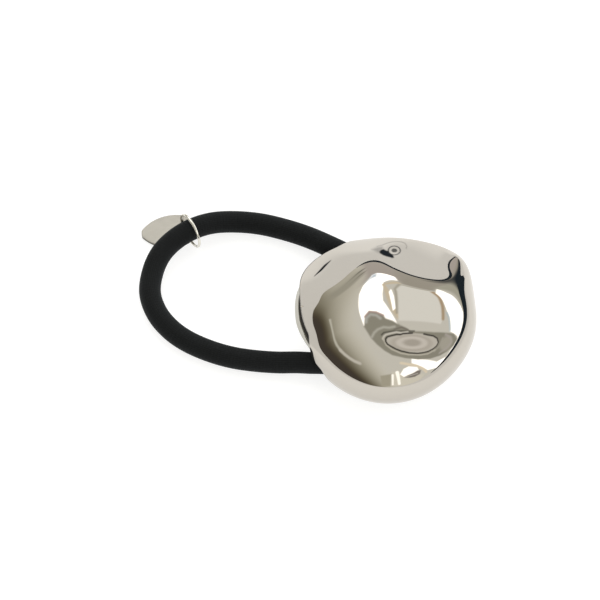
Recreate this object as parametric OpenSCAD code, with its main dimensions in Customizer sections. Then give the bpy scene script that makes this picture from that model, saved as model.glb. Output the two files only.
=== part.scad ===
// Hair tie: a covered elastic loop that runs through a hollow, polished metal pebble, with a small
// leaf tag on a jump ring. Millimetres, +Z up. The origin is on the surface that it lies on, under
// the crown of the pebble, and the loop lies towards -X.

/* [Pebble] */
// Radius of the dome near its crown
crown_radius = 20; // [17:0.5:24]
// Radius of the plain rim, before its swellings
rim_radius = 18.6; // [16:0.1:22]
// Height of the widest line of the pebble above the surface that it lies on
equator_height = 7.1; // [6.9:0.1:9]
// Rise of the crown above the widest line
crown_rise = 12.4; // [11:0.1:16]
// Thickness of the metal wall
wall = 1.3; // [0.8:0.1:2]

/* [Mouth] */
// Azimuth at which the mouth reaches its full height, at the back
mouth_from = 99; // [90:1:110]
// Azimuth at which the mouth starts to close, at the front
mouth_to = 221; // [215:1:230]
// Angle over which the edge runs down from the mouth to the plate
mouth_ramp = 15; // [10:1:20]
// Tilt by which the lip rises over the widest line in the middle of the mouth
lip_rise = 20; // [0:1:25]

/* [Back plate] */
// Thickness of the back plate
plate_thickness = 1.4; // [1:0.1:2]
// Height of the glue line between the plate and the shell
seam = 0.1; // [0.05:0.05:0.2]
// How far the plate shows past the lip at the left
plate_show = 1.2; // [0:0.1:2]
// How far the plate is set in from the shell's foot elsewhere
plate_set_in = 0.9; // [0:0.1:1.1]

/* [Elastic] */
// Diameter of the covered elastic
elastic_d = 5; // [4:0.1:5.2]

/* [Jump ring] */
// Thickness of the ring's wire
ring_wire = 0.7; // [0.5:0.05:0.75]
// Outer diameter of the ring
ring_outer_d = 8.6; // [8.2:0.1:9]

/* [Tag] */
// Widest part of the leaf
tag_width = 8.8; // [7:0.1:10]
// Length of the leaf, from its point to its round end
tag_length = 12.5; // [11:0.1:14]
// Thickness of the leaf
tag_thickness = 0.7; // [0.5:0.1:0.9]
// Diameter of the hole for the ring
tag_hole_d = 2.5; // [2.4:0.1:2.6]

/* [Hidden] */

// Swellings of the rim: azimuth of the middle, height and spread in degrees
SWELLINGS = [
    // azimuth, height, spread
    [88, 3.1, 30],
    [138, 4.3, 19],
    [190, -0.5, 16],
    [225, 0.2, 20],
    [272, 2.8, 36],
    [358, 1.2, 22],
    [48, 4.3, 18]];

// Flares of the lip, which spread the pebble only near its widest line: azimuth of the middle,
// reach and spread in degrees
FLARES = [
    // azimuth, reach, spread
    [182, 2.3, 21],
    [160, -1.2, 14],
    [143, 3.2, 20]];
// How fast the flares fade above the widest line: a power of the tilt's cosine
flare_fade = 8;

// Flats that slope down from the dome to the rim: the way each one faces, its height over the
// middle above the widest line, its slope in degrees and the depth over which it blends in
FLATS = [
    // azimuth, height, slope, blend
    [62, 14.8, 31.6, 2.4],
    [145, 16.8, 36.6, 4.5],
    [104, 18.25, 36, 4],
    [165, 20.1, 42, 1.2],
    [185, 25.3, 49, 0.8],
    [201, 29.4, 54, 0.6]];

// Steps round the pebble, up its outside and up its inside
az_steps = 80;
outer_steps = 24;
inner_steps = 12;

// The lip's rise in the mouth: the azimuths where it starts, is whole, starts to go back and ends
LIP = [100, 122, 198, 218];

// The plate's tongue in the mouth: where it starts, is whole, starts to go back and ends
TONGUE = [105, 125, 166, 204];

// Route of the elastic's middle: a closed loop, with the stretch inside the pebble last
ROUTE = [
    // x, y, z
    [-16.5, -9.6, 4.05],
    [-20.5, -8.9, 3.3],
    [-25, -8.5, 2.7],
    [-30, -8, 2.6],
    [-35, -7.1, 2.6],
    [-40, -5.4, 2.6],
    [-45, -2.8, 2.6],
    [-49, 0.5, 2.6],
    [-52.2, 5, 2.6],
    [-53.9, 10.5, 2.7],
    [-53.4, 16, 3.2],
    [-51.5, 20.7, 4],
    [-48.3, 24.4, 4.5],
    [-44.2, 27.4, 4.5],
    [-39.5, 29.7, 3.6],
    [-34, 30.6, 2.7],
    [-28.5, 30, 2.6],
    [-23, 28.4, 2.6],
    [-18, 26.2, 2.9],
    [-13, 23, 3.7],
    [-8.5, 20, 4.05],
    [-4.6, 16.6, 4.05],
    [-1.7, 12.4, 4.05],
    [-0.5, 7.4, 4.05],
    [-1, 2.2, 4.05],
    [-3.2, -3, 4.05],
    [-7, -7.2, 4.05],
    [-11.6, -9.4, 4.05]];
route_steps = 3;
tube_sides = 12;

// Place of the jump ring: the middle of the ring and the direction of the elastic through it
RING_AT = [-44.8, 27];
ring_turn = 31;
// Place of the leaf: its point, the way that it lies and the angle by which its ring end is raised
TAG_AT = [-56.5, 28.7];
tag_turn = 3;
tag_lean = 5.5;
// Distance of the hole from the leaf's point, and radius of the leaf's round end
tag_hole_at = 10.4;
tag_end_r = 6;

plate_top = plate_thickness;
shell_foot = plate_top + seam;

function total(v, i = 0) = i < len(v) ? v[i] + total(v, i + 1) : 0;
function smooth(v) = let (c = min(max(v, 0), 1)) c * c * (3 - 2 * c);

// 1 between the two middle angles of a, b, c, d, and smoothly 0 outside a and d
function window(az, a, b, c, d) = smooth((az - a) / (b - a)) * smooth((d - az) / (d - c));

// A swelling of unit height round the azimuth "middle"
function swelling(az, middle, spread) = exp((cos(az - middle) - 1) / pow(spread * PI / 180, 2));

function bulges(list, az) = total([for (s = list) s[1] * swelling(az, s[0], s[2])]);

function rim_at(az) = rim_radius + bulges(SWELLINGS, az);

// The lower of two heights, with the crease between them rounded over a depth
function blend_min(a, b, depth) =
    min(a, b) - pow(max(depth - abs(a - b), 0) / depth, 3) * depth / 6;

// Height of the dome z at (x, y) after each flat has been cut, for a skin set in by "inset"
function cut(x, y, z, inset, i = 0) = i == len(FLATS) ? z :
    let (f = FLATS[i],
         plane = f[1] - inset / cos(f[2]) - tan(f[2]) * (x * cos(f[0]) + y * sin(f[0])))
    cut(x, y, blend_min(z, plane, f[3]), inset, i + 1);

// Point of the pebble's skin: an ellipse in each azimuth, whose swollen rim fades to a round crown
function skin(az, tilt, inset) =
    let (rim = rim_at(az) - inset,
         core = crown_radius - inset,
         flare = bulges(FLARES, az) * pow(cos(tilt), flare_fade),
         reach = cos(tilt) * (core + (rim - core) * pow(cos(tilt), 2)) + flare,
         x = reach * cos(az),
         y = reach * sin(az))
    [x, y, equator_height + cut(x, y, (crown_rise - inset) * sin(tilt), inset)];

// Tilt at which a skin meets the plate
function foot_tilt(inset) = asin((shell_foot - equator_height) / (crown_rise - inset));

// Tilt at which a skin starts: at the plate, and in the mouth at the widest line or the risen lip
function first_tilt(az, inset) = foot_tilt(inset)
    * (1 - window(az, mouth_from - mouth_ramp, mouth_from, mouth_to, mouth_to + mouth_ramp))
    + lip_rise * window(az, LIP[0], LIP[1], LIP[2], LIP[3]);

function skin_rings(steps, inset) = [for (j = [0 : steps - 1], i = [0 : az_steps - 1])
    let (az = 360 * i / az_steps, start = first_tilt(az, inset))
    skin(az, start + (90 - start) * j / steps, inset)];

// Quads between ring "low" and ring "high" of points, each cut into two triangles
function band(low, high, n) = [for (i = [0 : n - 1], half = [0, 1])
    let (k = (i + 1) % n)
    half == 0 ? [low + i, high + i, high + k] : [low + i, high + k, low + k]];

function flip(faces) = [for (f = faces) [f[2], f[1], f[0]]];

module dome_shell() {
    n = az_steps;
    inner = outer_steps * n + 1;
    points = concat(
        skin_rings(outer_steps, 0), [skin(0, 90, 0)],
        skin_rings(inner_steps, wall), [skin(0, 90, wall)]);
    outside = concat(
        [for (j = [0 : outer_steps - 2]) each band(j * n, (j + 1) * n, n)],
        [for (i = [0 : n - 1]) [(outer_steps - 1) * n + i, inner - 1, (outer_steps - 1) * n + (i + 1) % n]]);
    inside = concat(
        [for (j = [0 : inner_steps - 2]) each band(inner + j * n, inner + (j + 1) * n, n)],
        [for (i = [0 : n - 1])
            [inner + (inner_steps - 1) * n + i, len(points) - 1, inner + (inner_steps - 1) * n + (i + 1) % n]]);
    color([0.80, 0.77, 0.73])
        polyhedron(points, concat(outside, flip(inside), flip(band(0, inner, n))));
}

// Radius of the plate: under the shell's foot, and past the lip on its tongue
function plate_at(az) =
    let (foot = skin(az, foot_tilt(0), 0),
         under = norm([foot.x, foot.y]) - plate_set_in,
         tongue = window(az, TONGUE[0], TONGUE[1], TONGUE[2], TONGUE[3]))
    under + (rim_at(az) + plate_show - under) * tongue;

module back_plate() {
    color([0.78, 0.75, 0.70])
        linear_extrude(plate_thickness)
            polygon([for (az = [0 : 3 : 357]) plate_at(az) * [cos(az), sin(az)]]);
}

// Smooth curve through the route's points, a closed one
function route_point(i) = ROUTE[(i + len(ROUTE)) % len(ROUTE)];
function route_at(i, t) =
    let (a = route_point(i - 1), b = route_point(i), c = route_point(i + 1), d = route_point(i + 2))
    b + (c - a) * t / 2 + (2 * a - 5 * b + 4 * c - d) * t * t / 2 + (3 * b - a - 3 * c + d) * t * t * t / 2;

module elastic() {
    path = [for (i = [0 : len(ROUTE) - 1], s = [0 : route_steps - 1]) route_at(i, s / route_steps)];
    n = len(path);
    ring = [for (i = [0 : n - 1])
        let (along = path[(i + 1) % n] - path[(i + n - 1) % n],
             side = [-along.y, along.x, 0] / norm([along.x, along.y]),
             up = cross(along / norm(along), side))
        for (k = [0 : tube_sides - 1])
            path[i] + elastic_d / 2 * (side * cos(360 * k / tube_sides) + up * sin(360 * k / tube_sides))];
    color([0.05, 0.05, 0.055])
        polyhedron(ring, [for (i = [0 : n - 1]) each band(i * tube_sides, ((i + 1) % n) * tube_sides, tube_sides)]);
}

module tag_ring() {
    color([0.75, 0.74, 0.70])
        translate([RING_AT.x, RING_AT.y, ring_outer_d / 2])
            rotate([0, 90, ring_turn])
                rotate_extrude($fn = 48)
                    translate([(ring_outer_d - ring_wire) / 2, 0])
                        circle(d = ring_wire, $fn = 16);
}

module tag() {
    // Two equal arcs meet in the leaf's point, and a third rounds its other end
    arc_r = tag_width;
    arc_at = arc_r * sin(60);
    color([0.72, 0.70, 0.64])
        translate([TAG_AT.x, TAG_AT.y, 0])
            rotate([0, -tag_lean, tag_turn])
                linear_extrude(tag_thickness)
                    difference() {
                        intersection() {
                            translate([arc_at, arc_r - tag_width / 2]) circle(arc_r, $fn = 96);
                            translate([arc_at, tag_width / 2 - arc_r]) circle(arc_r, $fn = 96);
                            translate([tag_length - tag_end_r, 0]) circle(tag_end_r, $fn = 96);
                        }
                        translate([tag_hole_at, 0]) circle(d = tag_hole_d, $fn = 32);
                    }
}

dome_shell();
back_plate();
elastic();
tag_ring();
tag();
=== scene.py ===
"""Hair tie: a covered elastic loop through a hollow, polished metal pebble, with a leaf tag on a jump ring.

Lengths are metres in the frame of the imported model, +Z up. The camera of the photograph looks along +Y and
down by the angle in the stage's settings.
"""

import bpy
import numpy as np
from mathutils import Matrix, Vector


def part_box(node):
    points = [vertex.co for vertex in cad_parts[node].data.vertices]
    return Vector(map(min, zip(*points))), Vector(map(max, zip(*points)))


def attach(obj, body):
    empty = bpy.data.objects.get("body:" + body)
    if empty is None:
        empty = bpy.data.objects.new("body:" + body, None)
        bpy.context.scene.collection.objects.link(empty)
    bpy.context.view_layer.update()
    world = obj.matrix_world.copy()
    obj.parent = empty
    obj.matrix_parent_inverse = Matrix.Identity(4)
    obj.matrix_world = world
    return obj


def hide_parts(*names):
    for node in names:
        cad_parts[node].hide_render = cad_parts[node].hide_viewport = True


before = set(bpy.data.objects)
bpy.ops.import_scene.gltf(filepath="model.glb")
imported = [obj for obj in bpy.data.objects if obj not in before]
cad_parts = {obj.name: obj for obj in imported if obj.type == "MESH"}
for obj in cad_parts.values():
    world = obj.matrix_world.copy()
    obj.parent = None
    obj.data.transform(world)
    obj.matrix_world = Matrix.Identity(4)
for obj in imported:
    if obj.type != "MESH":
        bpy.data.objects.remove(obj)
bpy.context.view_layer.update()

bl_info = {
    "name": "Hair tie with a metal pebble",
    "version": (1, 0, 0),
    "blender": (4, 5, 0),
    "location": "View3D > Sidebar > Hair tie",
    "description": "Builds a hair tie: metal pebble, back plate, covered elastic, jump ring and leaf tag",
    "category": "Add Mesh",
}

MM = 0.001
PLATE_LOW, PLATE_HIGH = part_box("back_plate")
RING_LOW, RING_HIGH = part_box("tag_ring")

# Swellings of the pebble's rim: azimuth of the middle and spread in degrees, height in millimetres
SWELLINGS = (
    # azimuth, height, spread
    (88, 3.1, 30),
    (138, 4.3, 19),
    (190, -0.5, 16),
    (225, 0.2, 20),
    (272, 2.8, 36),
    (358, 1.2, 22),
    (48, 4.3, 18),
)

# Flares of the lip, which spread the pebble only near its widest line, and the power of the tilt's cosine
# with which they fade above it
FLARES = (
    # azimuth, reach, spread
    (182, 2.3, 21),
    (160, -1.2, 14),
    (143, 3.2, 20),
)
FLARE_FADE = 8

# Flats that slope down from the dome to the rim: the way each one faces and its slope in degrees, its
# height over the middle above the widest line and the depth over which it blends in, in millimetres
FLATS = (
    # azimuth, height, slope, blend
    (62, 14.8, 31.6, 2.4),
    (145, 16.8, 36.6, 4.5),
    (104, 18.25, 36, 4),
    (165, 20.1, 42, 1.2),
    (185, 25.3, 49, 1.4),
    (201, 29.5, 54, 1.6),
)

# Low hills on the outside of the flats, in millimetres: the ridge of the right corner and a small dent
HILLS = (
    # x, y, height, half width, half length, turn in degrees
    (16.4, 17.6, 0.95, 1.4, 4.8, -6),
    (1.75, 15.1, -0.05, 1.6, 1.6, 0),
)
# How fast the hills come in above the widest line, against the sine of the tilt
HILL_FADE = 3

# Azimuths between which the mouth's edge rises from the plate, is open, and comes down again
MOUTH = (84, 99, 221, 236)
# Azimuths between which the lip rises over the widest line, is risen, and comes down again
LIP = (100, 122, 198, 218)
# Azimuths between which the plate's tongue comes out of the mouth, is whole, and goes back
TONGUE = (105, 125, 166, 204)

# Route of the elastic's middle, in millimetres: a closed loop, with the stretch inside the pebble last
ROUTE = (
    (-16.5, -9.6, 4.05),
    (-20.5, -8.9, 3.3),
    (-25, -8.5, 2.7),
    (-30, -8, 2.6),
    (-35, -7.1, 2.6),
    (-40, -5.4, 2.6),
    (-45, -2.8, 2.6),
    (-49, 0.5, 2.6),
    (-52.2, 5, 2.6),
    (-53.9, 10.5, 2.7),
    (-53.4, 16, 3.2),
    (-51.5, 20.7, 4),
    (-48.3, 24.4, 4.5),
    (-44.2, 27.4, 4.5),
    (-39.5, 29.7, 3.6),
    (-34, 30.6, 2.7),
    (-28.5, 30, 2.6),
    (-23, 28.4, 2.6),
    (-18, 26.2, 2.9),
    (-13, 23, 3.7),
    (-8.5, 20, 4.05),
    (-4.6, 16.6, 4.05),
    (-1.7, 12.4, 4.05),
    (-0.5, 7.4, 4.05),
    (-1, 2.2, 4.05),
    (-3.2, -3, 4.05),
    (-7, -7.2, 4.05),
    (-11.6, -9.4, 4.05),
)
# The route's point at which the elastic's two ends meet, inside the pebble
ROUTE_JOINT = 23
# Steps of the smooth curve from one point of the route to the next
ROUTE_STEPS = 40
# Share of a step by which the elastic's path stays open at the joint
ROUTE_GAP = 0.1

# Middle of the jump ring on the surface below it, in millimetres, and the elastic's direction through it
RING_AT = (-44.8, 27)
RING_TURN = 31
# Rounding of the jump ring's two ends, against half its wire: its length and how much thinner they get
RING_END_LENGTH = 0.3
RING_END_DEPTH = 0.18
# Point of the leaf in millimetres, the way that it lies and the angle that raises its ring end
TAG_AT = (-56.5, 28.7)
TAG_TURN = 3
TAG_LEAN = 5.5
# The power by which the rows of the leaf's faces crowd round its hole, the levels of the three rows of its
# milled edge, and the length of its outline against its own length
LEAF_CROWDING = 1.3
LEAF_LEVELS = (0.75, 0.5, 0.25)
LEAF_OUTLINE = 2.6


def smooth(x):
    """0 below 0, 1 above 1 and 3 x^2 - 2 x^3 between."""
    x = np.clip(x, 0, 1)
    return x * x * (3 - 2 * x)


def window(x, start, whole, end, gone):
    """1 between whole and end, and smoothly 0 outside start and gone."""
    return smooth((x - start) / (whole - start)) * smooth((gone - x) / (gone - end))


def full_turn(count):
    """Even azimuths once round, from +X."""
    return np.linspace(0, 2 * np.pi, count, endpoint=False)


def cos_sin(angle):
    """Cosine and sine of an angle in degrees."""
    return np.cos(np.radians(angle)), np.sin(np.radians(angle))


def turned(points, turn):
    """The points turned round the upright axis by an angle in degrees."""
    c, s = cos_sin(turn)
    x, y, z = np.moveaxis(points, -1, 0)
    return np.stack([x * c - y * s, x * s + y * c, z], -1)


def surface(name, points, loop=False, first=None, last=None, along=None):
    """Mesh object of a grid of points, whose columns close into a ring.

    loop joins the last row to the first one, and first and last are points that close the two ends. Its UV
    map holds the share of the way round, and for each row its value in along, or its number.
    """
    rows, columns = points.shape[:2]
    here = np.arange(rows * columns).reshape(rows, columns)
    beside = np.roll(here, -1, 1)
    step = slice(None) if loop else slice(0, rows - 1)
    below = np.roll(here, -1, 0)[step]
    beside_below = np.roll(beside, -1, 0)[step]
    quads = np.stack([here[step], below, beside_below, beside[step]], -1).reshape(-1, 4)

    along = np.arange(rows, dtype=float) if along is None else np.asarray(along, float)
    row_uv = np.append(along, 2 * along[-1] - along[-2])
    u0 = np.arange(columns) / columns
    u1 = u0 + 1 / columns
    v0, v1 = row_uv[:-1][step], row_uv[1:][step]
    u = np.stack(np.broadcast_arrays(u0, u0, u1, u1), -1)
    v = np.stack([v0, v1, v1, v0], -1)
    quad_uv = np.stack(np.broadcast_arrays(u[None], v[:, None]), -1).reshape(-1, 2)

    vertices = [points.reshape(-1, 3)]
    faces = quads.tolist()
    uv = [quad_uv]
    for pole, ring, value, turn in ((first, 0, v0[0], 1), (last, rows - 1, v1[-1], -1)):
        if pole is None:
            continue
        tip = np.full(columns, sum(len(part) for part in vertices))
        vertices.append(np.asarray(pole, float).reshape(1, 3))
        fan = np.stack([tip, here[ring], beside[ring]][::turn], -1)
        faces += fan.tolist()
        fan_u = np.stack([(u0 + u1) / 2, u0, u1][::turn], -1)
        uv.append(np.stack([fan_u, np.full(fan_u.shape, value)], -1).reshape(-1, 2))

    mesh = bpy.data.meshes.new(name)
    mesh.from_pydata(np.concatenate(vertices), [], faces)
    layer = mesh.uv_layers.new(name="UVMap")
    layer.uv.foreach_set("vector", np.concatenate(uv).astype(np.float32).ravel())
    mesh.shade_smooth()
    piece = bpy.data.objects.new(name, mesh)
    bpy.context.scene.collection.objects.link(piece)
    return piece


def wear(piece, node, material):
    """Lets the piece stand for a node of the part and ride on its body, and gives it its finish."""
    piece.data.materials.append(material)
    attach(piece, "root")
    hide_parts(node)
    return piece


def bulges(azimuth, rows):
    """Sum over the rows of their height times exp((cos(azimuth - middle) - 1) / spread^2), in metres."""
    middle, height, spread = np.array(rows).T
    bulge = np.exp((np.cos(azimuth[..., None] - np.radians(middle)) - 1) / np.radians(spread) ** 2)
    return MM * (height * bulge).sum(-1)


def rim_at(azimuth, rim_radius):
    """Radius of the pebble's widest line: the plain radius plus its swellings."""
    return rim_radius + bulges(azimuth, SWELLINGS)


def hills(x, y):
    """Sum over the hills of their height times exp(-(u^2 + v^2) / 2), with u and v from a hill's middle in
    its half width and half length."""
    rise = np.zeros_like(x)
    for at_x, at_y, height, wide, long, turn in HILLS:
        c, s = cos_sin(turn)
        dx, dy = x / MM - at_x, y / MM - at_y
        rise += height * np.exp(-0.5 * (((dx * c + dy * s) / wide) ** 2 + ((dy * c - dx * s) / long) ** 2))
    return MM * rise


def blend_min(a, b, depth):
    """The lower of two heights, less (1 - |a - b| / depth)^3 depth / 6 where they are closer than depth."""
    return np.minimum(a, b) - np.maximum(1 - np.abs(a - b) / depth, 0) ** 3 * depth / 6


def skin(size, azimuth, tilt, inset):
    """Points of the pebble's skin, set in by inset.

    In each azimuth it is an ellipse x = reach cos(tilt), z = rise sin(tilt), whose reach fades from the
    swollen rim to a round crown with cos^2(tilt) and gains the flares of the lip, which fade faster. Each
    flat then cuts it with a plane, and the outside carries the low hills.
    """
    rim = rim_at(azimuth, size.rim_radius) - inset
    core = size.crown_radius - inset
    reach = np.cos(tilt) * (core + (rim - core) * np.cos(tilt) ** 2)
    reach = reach + bulges(azimuth, FLARES) * np.cos(tilt) ** FLARE_FADE
    x, y = reach * np.cos(azimuth), reach * np.sin(azimuth)
    z = (size.crown_rise - inset) * np.sin(tilt)
    for facing, height, slope, depth in FLATS:
        facing, slope = np.radians(facing), np.radians(slope)
        down = np.tan(slope) * (x * np.cos(facing) + y * np.sin(facing))
        z = blend_min(z, MM * height - inset / np.cos(slope) - down, MM * depth)
    if inset == 0:
        z = z + smooth(HILL_FADE * np.sin(tilt)) * hills(x, y)
    return np.stack([x, y, size.equator_height + z], -1)


def foot_tilt(size, inset):
    """Tilt at which a skin meets the glue line over the plate."""
    foot = PLATE_HIGH.z + size.seam - size.equator_height
    return np.arcsin(foot / (size.crown_rise - inset))


def pebble_points(size):
    """Rows from the crown down the outside, round the lip and up the inside, as one closed skin.

    A row's tilt goes evenly from 90 degrees to the edge. The lip is half an ellipse from the outer to the
    inner skin, and both skins stop short of the edge by its depth. opening is 1 in the mouth and 0 where the
    shell stands on the plate.
    """
    azimuth = full_turn(size.columns)
    share = np.linspace(0, 1, size.rows + 1)[1:, None]
    opening = window(np.degrees(azimuth), *MOUTH)
    risen = np.radians(size.lip_rise) * window(np.degrees(azimuth), *LIP)
    lip = size.seam_round + (size.lip_round - size.seam_round) * opening

    def side(inset):
        start = foot_tilt(size, inset) * (1 - opening) + risen + lip / size.crown_rise
        return skin(size, azimuth, np.pi / 2 + (start - np.pi / 2) * share, inset)

    outside, inside = side(0.0), side(size.wall)
    way = outside[-1] - outside[-2] + inside[-1] - inside[-2]
    way /= np.linalg.norm(way, axis=-1, keepdims=True)
    middle, half = (outside[-1] + inside[-1]) / 2, (outside[-1] - inside[-1]) / 2
    turn = np.linspace(0, np.pi, size.lip_rows + 2)[1:-1, None, None]
    edge = middle + half * np.cos(turn) + way * lip[:, None] * np.sin(turn)
    crown = [skin(size, np.zeros(1), np.full(1, np.pi / 2), inset)[0] for inset in (0.0, size.wall)]
    return np.concatenate([outside, edge, inside[::-1][:: size.inside_step]]), crown


def plate_points(size, pebble):
    """Rows from the middle of the plate's top, over its rounded edge and back along its underside.

    The outline is set in from the shell's foot, and on the tongue it goes out to the rim plus what shows of
    the plate, with a bevel down from its top.
    """
    azimuth = full_turn(size.columns)
    foot = skin(pebble, azimuth, np.full_like(azimuth, foot_tilt(pebble, 0.0)), 0.0)
    foot = np.hypot(foot[:, 0], foot[:, 1]) - size.set_in
    tongue = window(np.degrees(azimuth), *TONGUE)
    outline = foot + (rim_at(azimuth, pebble.rim_radius) + size.show - foot) * tongue
    turn = np.linspace(0, np.pi / 2, size.edge_rows)[:, None]
    down = np.linspace(0, 1, size.edge_rows)[:, None]
    top_inset = size.edge_round * (1 - np.sin(turn)) + size.bevel * tongue * (1 - down)
    top_edge = PLATE_HIGH.z - size.edge_round * (1 - np.cos(turn)) - size.bevel_drop * tongue * down
    low_inset = size.edge_round * (1 - np.sin(turn[::-1]))
    low_edge = np.broadcast_to(PLATE_LOW.z + size.edge_round * (1 - np.cos(turn[::-1])), top_edge.shape)
    share = np.linspace(0, 1, size.rows + 1)[1:-1, None]
    top, under = share * (outline - top_inset[0]), share[::-1] * (outline - low_inset[-1])
    reach = np.concatenate([top, outline - top_inset, outline - low_inset, under])
    high, low = np.full_like(top, PLATE_HIGH.z), np.full_like(under, PLATE_LOW.z)
    height = np.concatenate([high, top_edge, low_edge, low])
    return np.stack([reach * np.cos(azimuth), reach * np.sin(azimuth), height], -1)


def route_points():
    """The elastic's middle as a closed curve. From one point of the route to the next it is
    b + (c - a) t / 2 + (2 a - 5 b + 4 c - d) t^2 / 2 + (3 b - a - 3 c + d) t^3 / 2, with t from 0 to 1."""
    b = MM * np.array(ROUTE)
    a, c, d = np.roll(b, 1, 0), np.roll(b, -1, 0), np.roll(b, -2, 0)
    t = (np.arange(ROUTE_STEPS) / ROUTE_STEPS)[:, None]
    a, b, c, d = (p[:, None] for p in (a, b, c, d))
    curve = b + (c - a) * t / 2 + (2 * a - 5 * b + 4 * c - d) * t**2 / 2 + (3 * b - a - 3 * c + d) * t**3 / 2
    return curve.reshape(-1, 3)


def even_loop(curve, pitch, steps):
    """The closed curve's points again, evenly apart and steps of them to about each pitch, and its length."""
    closed = np.vstack([curve, curve[:1]])
    walked = np.concatenate([[0], np.cumsum(np.linalg.norm(np.diff(closed, axis=0), axis=1))])
    at = np.linspace(0, walked[-1], round(walked[-1] / pitch) * steps, endpoint=False)
    return np.stack([np.interp(at, walked, closed[:, k]) for k in range(3)], -1), walked[-1]


def tube_points(path, radius, columns):
    """A closed path's tube: path + radius (side cos(angle) - up sin(angle)), with side level and up square
    to it and to the path. radius may change along and around."""
    forward = np.roll(path, -1, 0) - np.roll(path, 1, 0)
    forward /= np.linalg.norm(forward, axis=1, keepdims=True)
    side = np.stack([-forward[:, 1], forward[:, 0], np.zeros(len(path))], -1)
    side /= np.linalg.norm(side, axis=1, keepdims=True)
    up = np.cross(forward, side)
    angle = 2 * np.pi * np.arange(columns)[None, :, None] / columns
    around = side[:, None] * np.cos(angle) - up[:, None] * np.sin(angle)
    return path[:, None] + radius[..., None] * around


def elastic_points(size):
    """The elastic's tube with the ribs of its knitted cover.

    The radius drops by the rib's height times sin^2(pi along / pitch + a wave of the stitches around).
    """
    path, length = even_loop(route_points(), size.rib_pitch, size.rib_rows)
    along = np.arange(len(path))[:, None] / size.rib_rows
    around = np.arange(size.columns)[None, :] / size.columns
    wave = size.stitch_wave * np.cos(2 * np.pi * size.stitches * around)
    groove = np.sin(np.pi * (along + wave)) ** 2
    radius = size.diameter / 2 - size.rib_height * groove
    return tube_points(path, radius, size.columns), along[:, 0], length


def ring_points(size):
    """The jump ring: an open torus, with a slit, whose two ends are slightly rounded.

    It stands on the surface with its axis along the elastic: middle + (R + r cos(p)) (up cos(t) + side
    sin(t)) - r sin(p) axis.
    """
    outer = RING_HIGH.z - RING_LOW.z
    wire = size.wire / 2
    bend = outer / 2 - wire
    half_slit = (size.slit / 2) / bend
    turn = np.radians(size.slit_at) + np.linspace(half_slit, 2 * np.pi - half_slit, size.ring_rows)
    ends = np.minimum(turn - turn[0], turn[-1] - turn) * bend / (RING_END_LENGTH * wire)
    thick = wire * (1 - RING_END_DEPTH * (1 - np.sqrt(1 - (1 - np.clip(ends, 0, 1)) ** 2)))
    up = np.array([0, 0, 1.0])
    side = turned(np.array([0, 1.0, 0]), RING_TURN)
    axis = turned(np.array([1.0, 0, 0]), RING_TURN)
    middle = np.array([RING_AT[0] * MM, RING_AT[1] * MM, RING_LOW.z + outer / 2])
    around = -2 * np.pi * np.arange(size.ring_columns)[None, :, None] / size.ring_columns
    spoke = (up * np.cos(turn)[:, None] + side * np.sin(turn)[:, None])[:, None]
    thick = thick[:, None, None]
    points = middle + spoke * (bend + thick * np.cos(around)) + axis * thick * np.sin(around)
    return points, middle + bend * spoke[0, 0], middle + bend * spoke[-1, 0]


def leaf_reach(size, azimuth, inset):
    """Distance from the hole's middle to the leaf's outline, set in by inset.

    The outline is where three circles overlap: two meet in the leaf's point and one rounds its other end.
    From a point p inside a circle of radius R it is -p.d + sqrt((p.d)^2 - |p|^2 + R^2) along d.
    """
    arc = size.width
    circles = (
        # x, y, radius
        (arc * np.sin(np.pi / 3), arc - size.width / 2, arc),
        (arc * np.sin(np.pi / 3), size.width / 2 - arc, arc),
        (size.length - size.end_radius, 0.0, size.end_radius),
    )
    reach = []
    for x, y, radius in circles:
        px, py = size.hole_at - x, -y
        ahead = px * np.cos(azimuth) + py * np.sin(azimuth)
        reach.append(-ahead + np.sqrt(ahead**2 - px**2 - py**2 + (radius - inset) ** 2))
    return np.minimum.reduce(reach)


def tag_points(size):
    """The leaf as a ring of rows round its hole: out along the top, over the milled edge, back along the
    underside and up the hole's wall. It is then leaned, turned and put in its place."""
    azimuth = full_turn(size.columns)
    turn = np.linspace(0, np.pi / 2, size.edge_rows)
    rounding = list(zip(size.edge_round * (1 - np.sin(turn)), size.edge_round * (1 - np.cos(turn))))
    hole = np.full_like(azimuth, size.hole / 2)
    start = hole + size.edge_round
    out = leaf_reach(size, azimuth, size.edge_round) - start
    face = [start + out * share for share in np.linspace(0, 1, size.rows + 1)[:-1] ** LEAF_CROWDING]
    mills = round(LEAF_OUTLINE * size.length / size.mill_pitch)
    groove = size.mill_depth * (0.5 - 0.5 * np.cos(mills * azimuth))

    rows = [(reach, size.thickness) for reach in face]
    rows += [(leaf_reach(size, azimuth, inset), size.thickness - down) for inset, down in rounding]
    for share in LEAF_LEVELS:
        height = size.edge_round + (size.thickness - 2 * size.edge_round) * share
        rows.append((leaf_reach(size, azimuth, 0.0) - groove * (1 - abs(2 * share - 1)), height))
    rows += [(leaf_reach(size, azimuth, inset), down) for inset, down in rounding[::-1]]
    rows += [(reach, 0.0) for reach in face[::-1]]
    rows += [(hole + inset, down) for inset, down in rounding[1:]]
    rows += [(hole + inset, size.thickness - down) for inset, down in rounding[:0:-1]]

    reach = np.array([row[0] for row in rows])
    height = np.array([row[1] for row in rows])[:, None]
    x, y = size.hole_at + reach * np.cos(azimuth), reach * np.sin(azimuth)
    c, s = cos_sin(TAG_LEAN)
    leaned = np.stack([x * c - height * s, y, x * s + height * c], -1)
    return turned(leaned, TAG_TURN) + np.array([TAG_AT[0] * MM, TAG_AT[1] * MM, 0])


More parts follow.
